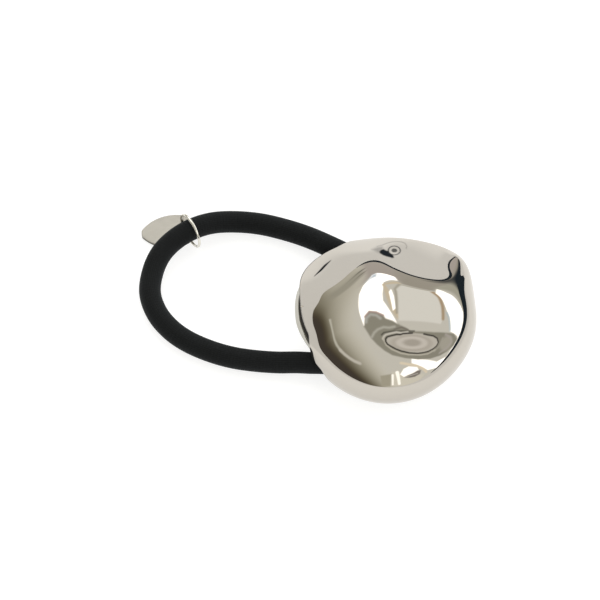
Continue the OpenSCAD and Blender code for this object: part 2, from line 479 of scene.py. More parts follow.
class Value:
    """An output of a material's node. Arithmetic on it adds Math nodes to the material."""

    def __init__(self, finish, socket):
        self.finish = finish
        self.socket = socket

    def math(self, operation, *values):
        return self.finish.node("ShaderNodeMath", {"operation": operation}, dict(enumerate(values)))

    def __add__(self, other):
        return self.math("ADD", self, other)

    def __radd__(self, other):
        return self.math("ADD", other, self)

    def __sub__(self, other):
        return self.math("SUBTRACT", self, other)

    def __rsub__(self, other):
        return self.math("SUBTRACT", other, self)

    def __mul__(self, other):
        return self.math("MULTIPLY", self, other)

    def __rmul__(self, other):
        return self.math("MULTIPLY", other, self)

    def __truediv__(self, other):
        return self.math("DIVIDE", self, other)

    def __rtruediv__(self, other):
        return self.math("DIVIDE", other, self)

    def __abs__(self):
        return self.math("ABSOLUTE", self)

    def maximum(self, other):
        return self.math("MAXIMUM", self, other)

    def sine(self):
        return self.math("SINE", self)


class Finish:
    """A material whose nodes are added by calls, around one Principled shader."""

    def __init__(self, name):
        self.material = bpy.data.materials.new(name)
        self.material.use_nodes = True
        self.tree = self.material.node_tree
        self.shader = self.tree.nodes["Principled BSDF"]

    def node(self, kind, settings, inputs, output=0):
        """Adds a node, makes its settings and then fills or links its inputs, and returns one output."""
        node = self.tree.nodes.new(kind)
        for name, value in settings.items():
            setattr(node, name, value)
        for key, value in inputs.items():
            self.feed(node.inputs[key], value)
        return Value(self, node.outputs[output])

    def feed(self, socket, value):
        """Links a value to a socket, or sets the socket to it."""
        if isinstance(value, Value):
            self.tree.links.new(value.socket, socket)
        else:
            socket.default_value = value

    def set(self, **inputs):
        """Feeds the shader's sockets: Base_Color stands for the socket named Base Color."""
        for name, value in inputs.items():
            self.feed(self.shader.inputs[name.replace("_", " ")], value)
        return self.material

    def dull_glow(self, colour, glow, strength):
        """A dull surface of a colour that gives off light of its own."""
        return self.set(
            Base_Color=colour, Roughness=1.0, Specular_IOR_Level=0.0, Emission_Color=glow,
            Emission_Strength=strength)

    def parts(self, vector):
        """The three values of a vector."""
        return [self.node("ShaderNodeSeparateXYZ", {}, {0: vector}, output=k) for k in range(3)]

    def joined(self, x, y, z):
        """The vector of three values."""
        return self.node("ShaderNodeCombineXYZ", {}, {0: x, 1: y, 2: z})

    def place(self):
        """Where the point is on the object."""
        return self.node("ShaderNodeTexCoord", {}, {}, output="Object")

    def pattern(self):
        """Where the point is on the piece's own UV map."""
        return self.node("ShaderNodeUVMap", {"uv_map": "UVMap"}, {})

    def noise(self, vector, scale, detail=2.0, roughness=0.5):
        """Noise from 0 to 1 with about scale grains to a unit of the vector."""
        inputs = {"Vector": vector, "Scale": scale, "Detail": detail, "Roughness": roughness}
        return self.node("ShaderNodeTexNoise", {}, inputs)

    def step(self, value, low, high, start=0.0, end=1.0):
        """Goes smoothly from start to end as value goes from low to high."""
        settings = {"interpolation_type": "SMOOTHSTEP"}
        inputs = {"Value": value, "From Min": low, "From Max": high, "To Min": start, "To Max": end}
        return self.node("ShaderNodeMapRange", settings, inputs)

    def mix(self, share, low, high):
        """The colour low where share is 0 and high where it is 1."""
        colours = [c if isinstance(c, Value) else (*c, 1.0) for c in (low, high)]
        inputs = {"Factor": share, 6: colours[0], 7: colours[1]}
        return self.node("ShaderNodeMix", {"data_type": "RGBA"}, inputs, output=2)

    def bump(self, height, distance, strength=1.0):
        """Normals that make a height from 0 to 1 stand up to distance metres high."""
        inputs = {"Height": height, "Distance": distance, "Strength": strength}
        return self.node("ShaderNodeBump", {}, inputs)


# Colours of the painted dark reflections in the metal and of the painted shade on the plate's top inside the
# pebble
DARK_REFLECTION_COLOUR = (0.012, 0.015, 0.019)
INSIDE_SHADE_COLOUR = (0.05, 0.048, 0.045)
# Heights over the plate's low face, against its thickness, between which the brushing ends, and depths under
# its top face, in metres, between which the dull top, painted dark as shade, starts
BRUSHED_TO = (0.04, 0.12)
DULL_SHADED_FROM = (0.00006, 0.00002)


def polished_finish(size):
    """Mirror polish with the faint cloudiness that wiping leaves, and painted dark reflections, dull and not
    metallic, where the mesh's attribute says so."""
    finish = Finish("polished_shell")
    place = finish.place()
    cloud = finish.noise(place, 160.0, detail=3.0)
    roughness = finish.step(cloud, 0.45, 0.75, size.gloss, size.gloss + 0.03)
    # painted dark reflections: the metal turns dark and dull where the attribute is high
    dark_reflection = finish.node("ShaderNodeAttribute", {"attribute_name": "dark_reflection"}, {}, output="Fac")
    colour = finish.mix(dark_reflection, size.colour, DARK_REFLECTION_COLOUR)
    metal = finish.step(dark_reflection, 0.5, 0.9, 1.0, 0.0)
    return finish.set(Base_Color=colour, Metallic=metal, Roughness=roughness, Specular_IOR_Level=0.0)


def plate_finish(size):
    """Polished edge, a dull top inside the pebble painted dark as shade, and an underside with a fine
    straight brushing.
    """
    finish = Finish("plate_metal")
    x, y, z = finish.parts(finish.place())
    lines = finish.joined(x * 0.04, y, 0.0)
    brushed = finish.noise(lines, 9000.0, detail=3.0)
    under = finish.step(z, *(PLATE_HIGH.z * share for share in BRUSHED_TO), 1.0, 0.0)
    top = finish.step(z, *(PLATE_HIGH.z - depth for depth in DULL_SHADED_FROM))
    roughness = 0.12 + under * (0.22 + brushed * 0.18) + top * 0.5
    colour = finish.mix(brushed * under * 0.5, size.colour, [c * 0.72 for c in size.colour])
    # painted shade: the plate's top inside the pebble is made dark
    colour = finish.mix(top, colour, INSIDE_SHADE_COLOUR)
    normal = finish.bump(brushed * under, 0.00002)
    return finish.set(Base_Color=colour, Metallic=1.0, Roughness=roughness, Normal=normal)


def cover_finish(size):
    """Black knitted cover: a thread's own shade and twist follow the piece's map, with a soft sheen."""
    finish = Finish("covered_elastic")
    around, along, _ = finish.parts(finish.pattern())
    stitch = (around * (2 * np.pi * size.stitches)).sine()
    rib = ((along + stitch * 0.12) * (2 * np.pi)).sine()
    left = ((along * 2.0 + around * size.threads) * (2 * np.pi)).sine()
    right = ((along * 2.0 - around * size.threads) * (2 * np.pi)).sine()
    weave = left * right
    fuzz = finish.noise(finish.place(), 5200.0, detail=3.0, roughness=0.65)
    patch = finish.noise(finish.place(), 190.0)
    thread = finish.step(weave * 0.2 + rib * 0.04 + fuzz, 0.15, 0.95)
    share = thread * finish.step(patch, 0.3, 0.7, 0.75, 1.0)
    colour = finish.mix(share, size.shade, size.colour)
    height = weave * 0.4 + fuzz * 0.6
    return finish.set(
        Base_Color=colour,
        Roughness=finish.step(thread, 0.0, 1.0, 0.92, 0.74),
        Specular_IOR_Level=0.14,
        Sheen_Weight=0.08,
        Sheen_Roughness=0.45,
        Sheen_Tint=(0.75, 0.85, 0.9, 1.0),
        Normal=finish.bump(height, 0.00003, 0.7),
    )


def wire_finish(size):
    """Polished silver wire with fine drawing lines round it."""
    finish = Finish("ring_metal")
    around, along, _ = finish.parts(finish.pattern())
    lines = finish.joined(around * 30.0, along * 0.2, 0.0)
    drawn = finish.noise(lines, 4.0, detail=2.0)
    roughness = finish.step(drawn, 0.3, 0.7, 0.07, 0.16)
    return finish.set(Base_Color=(*size.wire_colour, 1.0), Metallic=1.0, Roughness=roughness)


def leaf_finish(size):
    """Satin metal: fine brushing along the leaf, cloudy patches, and painted shade that darkens the steep
    faces of its edge.
    """
    finish = Finish("tag_metal")
    x, y, z = finish.parts(finish.place())
    lines = finish.joined(x * 0.06, y, z * 0.5)
    brushed = finish.noise(lines, 7000.0, detail=3.0)
    cloud = finish.noise(finish.place(), 420.0, detail=3.0)
    _, _, facing = finish.parts(finish.node("ShaderNodeTexCoord", {}, {}, output="Normal"))
    # painted shade on the leaf's edge: the steeper the face, the darker
    edge = finish.step(abs(facing), 0.35, 0.85, 1.0, 0.0)
    face = finish.mix(brushed * 0.35 + cloud * 0.4, size.colour, [c * 0.86 for c in size.colour])
    colour = finish.mix(edge, face, size.edge_shade)
    roughness = 0.3 + brushed * 0.16 + cloud * 0.08
    normal = finish.bump(brushed * 0.5 + cloud * 0.5, 0.00001)
    return finish.set(Base_Color=colour, Metallic=1.0, Roughness=roughness, Normal=normal)


def line_distance(u, v, corners):
    """Distance to the line through the corners: to each side's nearest point, a + share (b - a)."""
    distance = np.full(u.shape, np.inf)
    for (au, av), (bu, bv) in zip(corners, corners[1:]):
        du, dv = bu - au, bv - av
        share = np.clip(((u - au) * du + (v - av) * dv) / (du**2 + dv**2), 0, 1)
        distance = np.minimum(distance, np.hypot(u - au - share * du, v - av - share * dv))
    return distance


def stroke(u, v, corners, width):
    """Distance to the edge of a line of some width through the corners, positive inside."""
    return width / 2 - line_distance(u, v, corners)


def polygon(u, v, corners):
    """Distance to the edge of the polygon with these corners, positive inside, where a ray towards +u
    crosses an odd number of its sides."""
    closed = corners + corners[:1]
    inside = np.zeros(u.shape, bool)
    for (au, av), (bu, bv) in zip(closed, closed[1:]):
        if av != bv:
            inside ^= ((av > v) != (bv > v)) & (u < au + (v - av) * (bu - au) / (bv - av))
    distance = line_distance(u, v, closed)
    return np.where(inside, distance, -distance)


def oval(u, v, middle, half):
    """About the distance to the edge of an oval, positive inside: (1 - |(u, v) / half|) times its width."""
    return (1 - np.hypot((u - middle[0]) / half[0], (v - middle[1]) / half[1])) * min(half)


# Painted dark reflections in the metal: those of a dent, with a ringed eye, and of a slit beside it.
# Millimetres to the right, and along the direction that rises from the horizontal by the angle in MARKS_TILT
# as it goes back. They are only on the skin above the height in MARKS_ABOVE.
MARKS_TILT = 35
MARKS_ABOVE = 7.5
DENT = [(-1.76, 19.75), (-1.36, 20.15), (-0.8, 20.3), (-0.23, 20), (0.23, 19.86), (0.68, 19.5), (1.14, 19.1),
        (1.48, 18.7), (1.53, 18.3), (1.14, 18.2), (0.57, 18.4), (-0.23, 18.6), (-1.02, 18.9), (-1.7, 19.35)]
DENT_TAIL = [(-3.5, 20.2), (-2.3, 20.75), (-1.1, 20.9), (-0.8, 20.2), (-1.6, 19.3)]
DENT_ARC = [(-2.3, 20.9), (-1.1, 21.2), (0, 21.65), (1.15, 21.95), (2.3, 22.05), (3.4, 21.95), (4.2, 21.6),
            (4.5, 21), (4.4, 20.4)]
SLIT = [(-12.75, 17.75), (-14.25, 16.65), (-16.5, 14.15), (-14.9, 15.4)]
PAINTED_REFLECTIONS = (
    # form, where, how far it is grown, softness of its edge, darkness
    (polygon, (DENT_TAIL,), 0, 0.9, 0.45),
    (stroke, (DENT_ARC, 0.2), 0, 0.3, 0.4),
    (polygon, (DENT,), 0, 0.3, 1),
    (polygon, (SLIT,), 0.06, 0.2, 1),
)
# Middle of the ringed eye, a painted reflection, and the softness of its rings, which lie on each other. A
# darkness below 0 ends as plain metal, with a sharper edge.
EYE_MIDDLE = (1.65, 19.98)
EYE_EDGE = 0.2
EYE_RINGS = (
    # half width and half height, darkness
    ((1.5, 1.1), 0.95),
    ((1.17, 0.87), -1),
    ((0.72, 0.5), 0.85),
)


def dark_reflection_at(points):
    """How dark the painted reflections make the metal at each point, from 0 to 1, for the dent, the rings of
    its eye and the slit.
    """
    x = points[..., 0] / MM
    c, s = cos_sin(MARKS_TILT)
    back = (points[..., 1] * c + points[..., 2] * s) / MM
    dark_reflection = np.zeros_like(x)
    for form, where, grown, edge, dark in PAINTED_REFLECTIONS:
        dark_reflection = np.maximum(dark_reflection, dark * smooth(0.5 + (form(x, back, *where) + grown) / edge))
    for half, dark in EYE_RINGS:
        share = smooth(0.5 + oval(x, back, EYE_MIDDLE, half) / EYE_EDGE)
        dark_reflection = dark_reflection * (1 - share) + dark * share
    return np.maximum(dark_reflection, 0) * smooth(points[..., 2] / MM - MARKS_ABOVE)


WHITE = (2.6, 2.6, 2.6)
FRAME_COLOUR = (0.96, 0.86, 0.68)

# The scrim's dark hoop, open at its far side
HOOP = [(34.5, -4.5), (39, -5), (46, -5.2), (52, -7), (56, -11), (55.5, -15), (52.5, -18.5), (47, -22),
        (41, -24), (33.5, -25.3), (23.5, -25), (14, -23), (8.5, -21), (3, -18), (0, -16), (-1.5, -13.5),
        (-1.5, -11), (0, -9), (4.5, -7.6), (8.5, -6.6), (11.5, -6.6), (14, -5.6), (19, -5), (22.5, -4.6)]

# What hangs in the studio, seen from the pebble: u towards +X and v towards +Y, in degrees from straight up.
# A later row is in front of an earlier one. Colours are brightness against a white floor of 1.
PANELS = (
    # form, where, edge, colour
    # the light tube at the left
    (stroke, ([(-57, 22), (-58, 12), (-58.7, 3), (-59, -5), (-58, -13), (-55.5, -20)], 3.6), 1.8,
     (0.8, 0.8, 0.72)),
    (stroke, ([(-55.5, -20), (-51.5, -26), (-46.5, -31.5), (-41, -36), (-35, -39)], 4.6), 1.8,
     (0.86, 0.84, 0.78)),
    # the wall behind, the dark corner at the right and the windows
    (polygon, ([(-30, 60), (20, 60), (24, 92), (-30, 92)],), 6, (0.62, 0.58, 0.55)),
    (polygon, ([(13, 54), (33, 54), (33, 92), (20, 92)],), 3, (0.54, 0.515, 0.46)),
    (polygon, ([(30, 64), (74, 43), (82, 60), (34, 95)],), 4, (0.6, 0.6, 0.52)),
    (polygon, ([(24, 84), (42, 72), (60, 60), (80, 44), (100, 60), (50, 110)],), 2.5, (0.02, 0.03, 0.04)),
    (polygon, ([(78, 44), (85, 26), (88, 5), (86, -14), (110, -20), (100, 70)],), 2, (0.02, 0.03, 0.04)),
    (polygon, ([(-20, 2), (9, 2), (-3, 24), (-4, 46), (13, 60), (14, 69), (-12, 69), (-21, 65), (-28, 55),
                (-28, 45), (-25, 28)],), 0.8, WHITE),
    (polygon, ([(-27, 57), (-14, 60), (-12, 68), (-20, 66)],), 3, (0.9, 1.05, 1.25)),
    (stroke, ([(9, 9), (4, 17), (1, 28), (-1, 36), (-4, 42), (4, 46), (12, 54)], 3.4), 1.2, FRAME_COLOUR),
    (polygon, ([(4.5, 15), (6.5, 17), (5, 28), (3, 35), (1.5, 32)],), 0.7, WHITE),
    (polygon, ([(9, 6), (50, 8), (51, 14), (38, 42), (32, 51), (14, 51), (7, 38)],), 1.2, (1.12, 1.13, 1.1)),
    (stroke, ([(7.5, 13), (7, 25), (6, 36), (12, 50), (30, 52)], 1.6), 1.2, (0.62, 0.6, 0.52)),
    (stroke, ([(51, 14), (47, 27), (41, 38), (33, 49)], 3.6), 1.4, (0.66, 0.52, 0.36)),
    (polygon, ([(33, 61), (36, 47), (46, 34), (57, 19), (66, 4), (84, 4), (87, 2), (86, 12), (82, 27),
                (77, 37), (70, 42), (58, 46), (45, 52)],), 1, WHITE),
    (stroke, ([(66, 5), (58, 18), (54, 22)], 2.6), 1.5, (0.75, 0.9, 1.0)),
    (polygon, ([(28, -32), (70, -34), (84, -24), (86, -8), (87, 2), (96, -10), (84, -40), (62, -48),
                (30, -38)],), 1.5, WHITE),
    (stroke, ([(16, -38), (38, -42), (50, -46), (62, -52)], 3.4), 1.4, (1.2, 1.08, 0.88)),
    # the low window and its curtains
    (polygon, ([(6, -52), (30, -58), (60, -56), (60, -70), (34, -86), (6, -86)],), 3, (1.02, 1.0, 0.9)),
    (polygon, ([(-11, -60), (5, -56), (5, -86), (-11, -86)],), 2, (0.6, 0.58, 0.48)),
    (stroke, ([(7, -58), (9, -82)], 3.2), 1, (1.9, 1.9, 1.85)),
    (stroke, ([(13, -53), (17, -66), (21, -80)], 5), 1, (1.9, 1.9, 1.85)),
    (polygon, ([(18, -57), (21, -47), (27, -43), (40, -44), (45, -49), (41, -54), (30, -58), (25, -62)],), 1,
     (2.2, 2.2, 2.2)),
    (polygon, ([(27, -64), (31, -59), (38, -54), (43, -49.5), (49, -49), (51, -56), (44, -62), (36, -64)],),
     1.6, (0.34, 0.31, 0.29)),
    (stroke, ([(26, -63), (36, -59), (46, -55)], 1.6), 1, (0.8, 0.78, 0.74)),
    # the scrim: its cloth with a raised lobe, its seams, the dark hoop and the folds in its middle
    (polygon, ([(-20, 1), (-18, 11), (-14, 15), (-8.5, 14), (-3, 11), (-1, 8), (4.5, 6), (11, 2), (16, 0),
                (21, -3), (28, -2.5), (45, -1.5), (62, 1), (75, 3.5), (86, 1), (86, -8), (79, -18), (70, -25),
                (55, -31), (37, -33), (20, -31.5), (5, -28), (-3, -23), (-10, -16.5), (-15, -10)],), 1.2,
     (0.43, 0.425, 0.365)),
    (oval, ((70, -10), (11, 9)), 3, (0.62, 0.61, 0.55)),
    (stroke, ([(-18, 10), (-14, 14.5), (-8.5, 13.6), (-3, 10.6)], 1.4), 1, (0.66, 0.5, 0.48)),
    (stroke, ([(-17.5, 5), (-16.5, 9), (-13, 11.8), (-8.5, 10.8), (-5.5, 8)], 2), 1.4, (0.72, 0.74, 0.72)),
    (stroke, ([(-14, -9), (-11.5, -5), (-8, -2), (-3, 0), (1.5, -0.5), (6, 0.5)], 1.8), 1.4,
     (0.74, 0.75, 0.7)),
    (stroke, ([(62, -1), (72, -2), (78, -6), (74, -15), (66, -22)], 2.2), 1.8, (0.66, 0.63, 0.62)),
    (stroke, ([(60, -6), (61, -13), (56, -21)], 2), 1.6, (0.62, 0.61, 0.55)),
    (stroke, ([(-5, -7), (-3, -5), (0, -4.5), (5, -3.5), (9, -3.5), (19, -3), (24, -2.6)], 1.3), 0.9,
     (0.14, 0.14, 0.12)),
    (stroke, ([(6, -2), (12, 0.2), (18, -1.8)], 1.2), 1, (0.3, 0.28, 0.25)),
    (stroke, ([(-4, -11), (-3, -8.5), (-1, -6.8), (3, -5.7), (8, -4.4), (12, -5), (18, -3.8)], 1.6), 0.9,
     (0.98, 0.97, 0.92)),
    (stroke, ([(-4, -10), (-1, -17), (4.5, -21.4), (14, -25.6), (23, -27), (38, -27), (48, -25),
               (56, -19.5)], 1.5), 1, (0.85, 0.83, 0.75)),
    (polygon, (HOOP,), 0.8, (0.84, 0.82, 0.77)),
    (oval, ((26, -14.6), (23, 8.6)), 1.2, (0.73, 0.7, 0.65)),
    (oval, ((25, -14.2), (17, 6.4)), 1.0, (0.92, 0.89, 0.85)),
    (oval, ((24.5, -14), (9.5, 3.6)), 1.4, (0.64, 0.61, 0.56)),
    (stroke, (HOOP, 1.5), 0.8, (0.05, 0.048, 0.042)),
)


# The studio's plain walls: their bright and dark colours, the degrees to the left at which each colour starts
# to darken and over how many it does, and what a degree to the front and to the back adds to them
WALL_BRIGHT = (0.92, 0.92, 0.87)
WALL_DARK = (0.085, 0.072, 0.06)
WALL_START = (26, 25.5, 23)
WALL_DEPTH = 59
WALL_FRONT = 0.5
WALL_BACK = 0.08
# A soft shadow and two thin lines low at the back: the angles from straight up and the azimuths between which
# each one comes, is whole and goes
BANDS = (
    # from straight up, azimuth, share, colour
    ((76, 80, 84, 89), (108, 115, 122, 130), 0.6, (0.42, 0.41, 0.35)),
    ((84.6, 85.2, 85.6, 86.2), (58, 64, 112, 120), 1, (0.12, 0.12, 0.11)),
    ((80.6, 81.2, 81.8, 82.4), (58, 64, 112, 120), 1, (0.2, 0.19, 0.17)),
)

# The low black card on the floor: its azimuth in degrees, distance and height in millimetres
CARD = (
    # azimuth, distance, height
    (-37, 477, 5),
    (-33, 400, 16),
    (-20, 229, 20),
    (0, 163, 18.6),
    (20, 127, 19),
    (38, 119, 24.6),
    (50, 114, 24),
    (58, 191, 22.7),
    (64, 716, 24),
    (95, 716, 22.5),
    (104, 955, 21.7),
    (109, 1400, 18),
    (113, 2400, 8),
)
CARD_COLOUR = (0.003, 0.004, 0.005, 1)
CARD_GLOW = (0.02, 0.03, 0.04, 1)


def laid_over(under, share, colour):
    """A colour over others, by its share at each point."""
    return under * (1 - share[..., None]) + np.array(colour) * share[..., None]


def studio_colours(u, v):
    """Brightness of the studio in each direction: plain walls that darken towards the left, sooner in blue
    than in red and sooner at the front, with soft bands low at the back, and then the panels, each over the
    ones before it. A panel's edge is soft over twice its edge's width."""
    left = -u + WALL_FRONT * np.maximum(-v, 0) + WALL_BACK * np.maximum(v, 0)
    share = smooth((left[..., None] - np.array(WALL_START)) / WALL_DEPTH)
    seen = (1 - share) * WALL_BRIGHT + share * WALL_DARK
    azimuth, polar = np.degrees(np.arctan2(v, u)), np.hypot(u, v)
    for rise, sweep, share, colour in BANDS:
        seen = laid_over(seen, share * window(polar, *rise) * window(azimuth, *sweep), colour)
    for form, where, edge, colour in PANELS:
        seen = laid_over(seen, smooth(0.5 + form(u, v, *where) / (2 * edge)), colour)
    return seen


def number_of(name, description, value, low, high, **kind):
    """A number with its range, and its unit or subtype where it has one."""
    return bpy.props.FloatProperty(
        name=name, description=description, default=value, min=low, max=high, **kind)


def length_of(name, description, value, low, high):
    """A length in metres with its range."""
    return number_of(name, description, value, low, high, unit="LENGTH", precision=5)


def colour_of(name, description, value):
    """A colour, in linear values."""
    return bpy.props.FloatVectorProperty(
        name=name, description=description, default=value, size=3, min=0.0, max=1.0, subtype="COLOR")


def count_of(name, description, value, low, high):
    """A whole number with its range."""
    return bpy.props.IntProperty(name=name, description=description, default=value, min=low, max=high)


class PebbleSettings(bpy.types.PropertyGroup):
    """Sizes and finish of the metal pebble."""

    crown_radius: length_of("Crown radius", "Radius of the dome near its crown", 0.020, 0.017, 0.024)
    rim_radius: length_of("Rim radius", "Radius of the plain rim, before its swellings", 0.0186, 0.016, 0.022)
    equator_height: length_of("Widest line", "Height of the widest line", 0.0071, 0.0069, 0.009)
    crown_rise: length_of("Crown rise", "Rise of the crown above the widest line", 0.0124, 0.011, 0.016)
    wall: length_of("Wall", "Thickness of the metal wall", 0.0013, 0.0008, 0.002)
    seam: length_of("Seam", "Height of the glue line over the plate", 0.0001, 0.00005, 0.0002)
    lip_round: length_of("Lip", "Depth of the rounding of the mouth's lip", 0.0003, 0.0001, 0.001)
    seam_round: length_of("Foot", "Depth of the rounding at the shell's foot", 0.00012, 0.00005, 0.0003)
    lip_rise: number_of("Lip rise", "Degrees by which the lip rises over the widest line", 18.5, 0.0, 25.0)
    columns: count_of("Columns", "Points round the pebble", 480, 64, 512)
    rows: count_of("Rows", "Rows from the crown to the edge", 132, 24, 160)
    lip_rows: count_of("Lip rows", "Rows round the lip", 10, 2, 24)
    inside_step: count_of("Inside step", "Rows of the outside for each row of the inside", 3, 1, 6)
    gloss: number_of("Gloss", "Roughness of the clean polish", 0.015, 0.0, 0.3)
    colour: colour_of("Metal", "Colour of the polished metal", (0.53, 0.497, 0.447))


class PlateSettings(bpy.types.PropertyGroup):
    """Sizes and finish of the back plate."""

    show: length_of("Shows", "How far the plate shows past the lip at the left", 0.0012, 0.0, 0.002)
    set_in: length_of("Set in", "How far the plate is set in from the shell's foot", 0.0009, 0.0, 0.0011)
    edge_round: length_of("Edge", "Rounding of the plate's edge", 0.00006, 0.00003, 0.0003)
    bevel: length_of("Bevel", "Width of the bevel on the tongue", 0.0009, 0.0, 0.001)
    bevel_drop: length_of("Bevel drop", "Height of the bevel on the tongue", 0.0012, 0.0, 0.0012)
    columns: count_of("Columns", "Points round the plate", 320, 64, 512)
    rows: count_of("Rows", "Rows from the middle to the edge", 24, 4, 60)
    edge_rows: count_of("Edge rows", "Rows over each rounding of the edge", 6, 2, 12)
    colour: colour_of("Metal", "Colour of the plate", (0.5, 0.485, 0.435))


class ElasticSettings(bpy.types.PropertyGroup):
    """Sizes and finish of the covered elastic."""

    diameter: length_of("Diameter", "Diameter of the covered elastic", 0.005, 0.004, 0.0052)
    rib_pitch: length_of("Rib pitch", "Distance from rib to rib of the cover", 0.00074, 0.0004, 0.002)
    rib_height: length_of("Rib height", "Depth of the grooves between the ribs", 0.00001, 0.0, 0.0003)
    rib_rows: count_of("Rib rows", "Rows of the mesh for each rib", 8, 4, 12)
    columns: count_of("Columns", "Points round the elastic", 56, 12, 96)
    stitches: count_of("Stitches", "Stitches round the cover", 24, 8, 48)
    threads: count_of("Threads", "Threads that wind each way", 18, 6, 48)
    stitch_wave: number_of("Stitch wave", "How far a rib waves with its stitches, in ribs", 0.08, 0.0, 0.5)
    colour: colour_of("Thread", "Colour of the raised threads", (0.012, 0.0135, 0.0145))
    shade: colour_of("Shade", "Colour between the threads", (0.005, 0.0055, 0.006))


class TagSettings(bpy.types.PropertyGroup):
    """Sizes and finishes of the jump ring and the leaf."""

    wire: length_of("Wire", "Thickness of the ring's wire", 0.0007, 0.0005, 0.00075)
    slit: length_of("Slit", "Width of the slit between the ring's ends", 0.00008, 0.00002, 0.0005)
    slit_at: number_of("Slit at", "Degrees from the top of the ring round to its slit", 236.0, 0.0, 360.0)
    ring_rows: count_of("Ring rows", "Rows along the ring's wire", 220, 24, 400)
    ring_columns: count_of("Ring columns", "Points round the ring's wire", 24, 6, 48)
    width: length_of("Width", "Widest part of the leaf", 0.0088, 0.007, 0.01)
    length: length_of("Length", "Length of the leaf", 0.0125, 0.011, 0.014)
    thickness: length_of("Thickness", "Thickness of the leaf", 0.0007, 0.0005, 0.0009)
    hole: length_of("Hole", "Diameter of the leaf's hole", 0.0025, 0.0024, 0.0026)
    hole_at: length_of("Hole at", "Distance of the hole from the leaf's point", 0.0104, 0.009, 0.011)
    end_radius: length_of("End", "Radius of the leaf's round end", 0.006, 0.0045, 0.008)
    edge_round: length_of("Edge", "Rounding of the leaf's edges", 0.0001, 0.00005, 0.0002)
    mill_pitch: length_of("Milling pitch", "Distance between the milled grooves", 0.0003, 0.0001, 0.001)
    mill_depth: length_of("Milling depth", "Depth of the milled grooves", 0.00006, 0.0, 0.0002)
    columns: count_of("Columns", "Points round the leaf", 720, 120, 960)
    rows: count_of("Rows", "Rows across each face of the leaf", 12, 4, 60)
    edge_rows: count_of("Edge rows", "Rows over each rounding of the leaf's edges", 5, 2, 12)
    colour: colour_of("Leaf", "Colour of the satin faces", (0.31, 0.295, 0.26))
    # painted shade on the leaf's edge, given as its own colour
    edge_shade: colour_of("Edge", "Colour of the milled edge", (0.16, 0.15, 0.13))
    wire_colour: colour_of("Wire", "Colour of the ring's wire", (0.72, 0.7, 0.64))


class StageSettings(bpy.types.PropertyGroup):
    """Floor, light and camera."""

    floor_glow: number_of("Floor glow", "Light that the floor gives off by itself", 0.8, 0.0, 2.0)
    floor_colour: colour_of("Floor", "Colour of the floor", (0.36, 0.36, 0.36))
    floor_far: number_of("Far floor", "Brightness of the floor outside the picture", 0.83, 0.0, 1.0)
    seen_side: length_of("Seen side", "Half of the floor's width that the picture shows", 0.068, 0.02, 1.0)
    seen_back: length_of("Seen back", "How far back the picture shows the floor", 0.094, 0.02, 1.0)
    floor_radius: length_of("Floor radius", "Radius of the floor", 4.0, 0.5, 20.0)
    floor_columns: count_of("Floor columns", "Points round the floor", 96, 24, 360)
    light: number_of("Light", "Strength of the studio's panels and walls", 1.07, 0.0, 5.0)
    light_radius: length_of("Light radius", "Distance of the panels", 3.0, 0.5, 20.0)
    light_rings: count_of("Light rings", "Rings of the studio from straight up to the floor", 180, 30, 360)
    light_columns: count_of("Light columns", "Points round the studio", 720, 120, 1440)
    card_steps: count_of("Card steps", "Steps along the black card", 200, 12, 400)
    card_thick: length_of("Card", "Thickness of the black card", 0.002, 0.001, 0.01)
    elevation: number_of(
        "Elevation", "Angle of the camera over the floor", np.radians(55.0), 0.0, np.pi / 2, subtype="ANGLE")
    target: bpy.props.FloatVectorProperty(
        name="Target", description="Point at the middle of the picture", default=(-0.01977, 0.00715, 0.005),
        size=3, subtype="TRANSLATION")
    distance: length_of("Distance", "Distance from the camera to the target", 2.0, 0.3, 10.0)
    view_width: length_of("View width", "Width that the picture shows at the target", 0.1364, 0.05, 1.0)


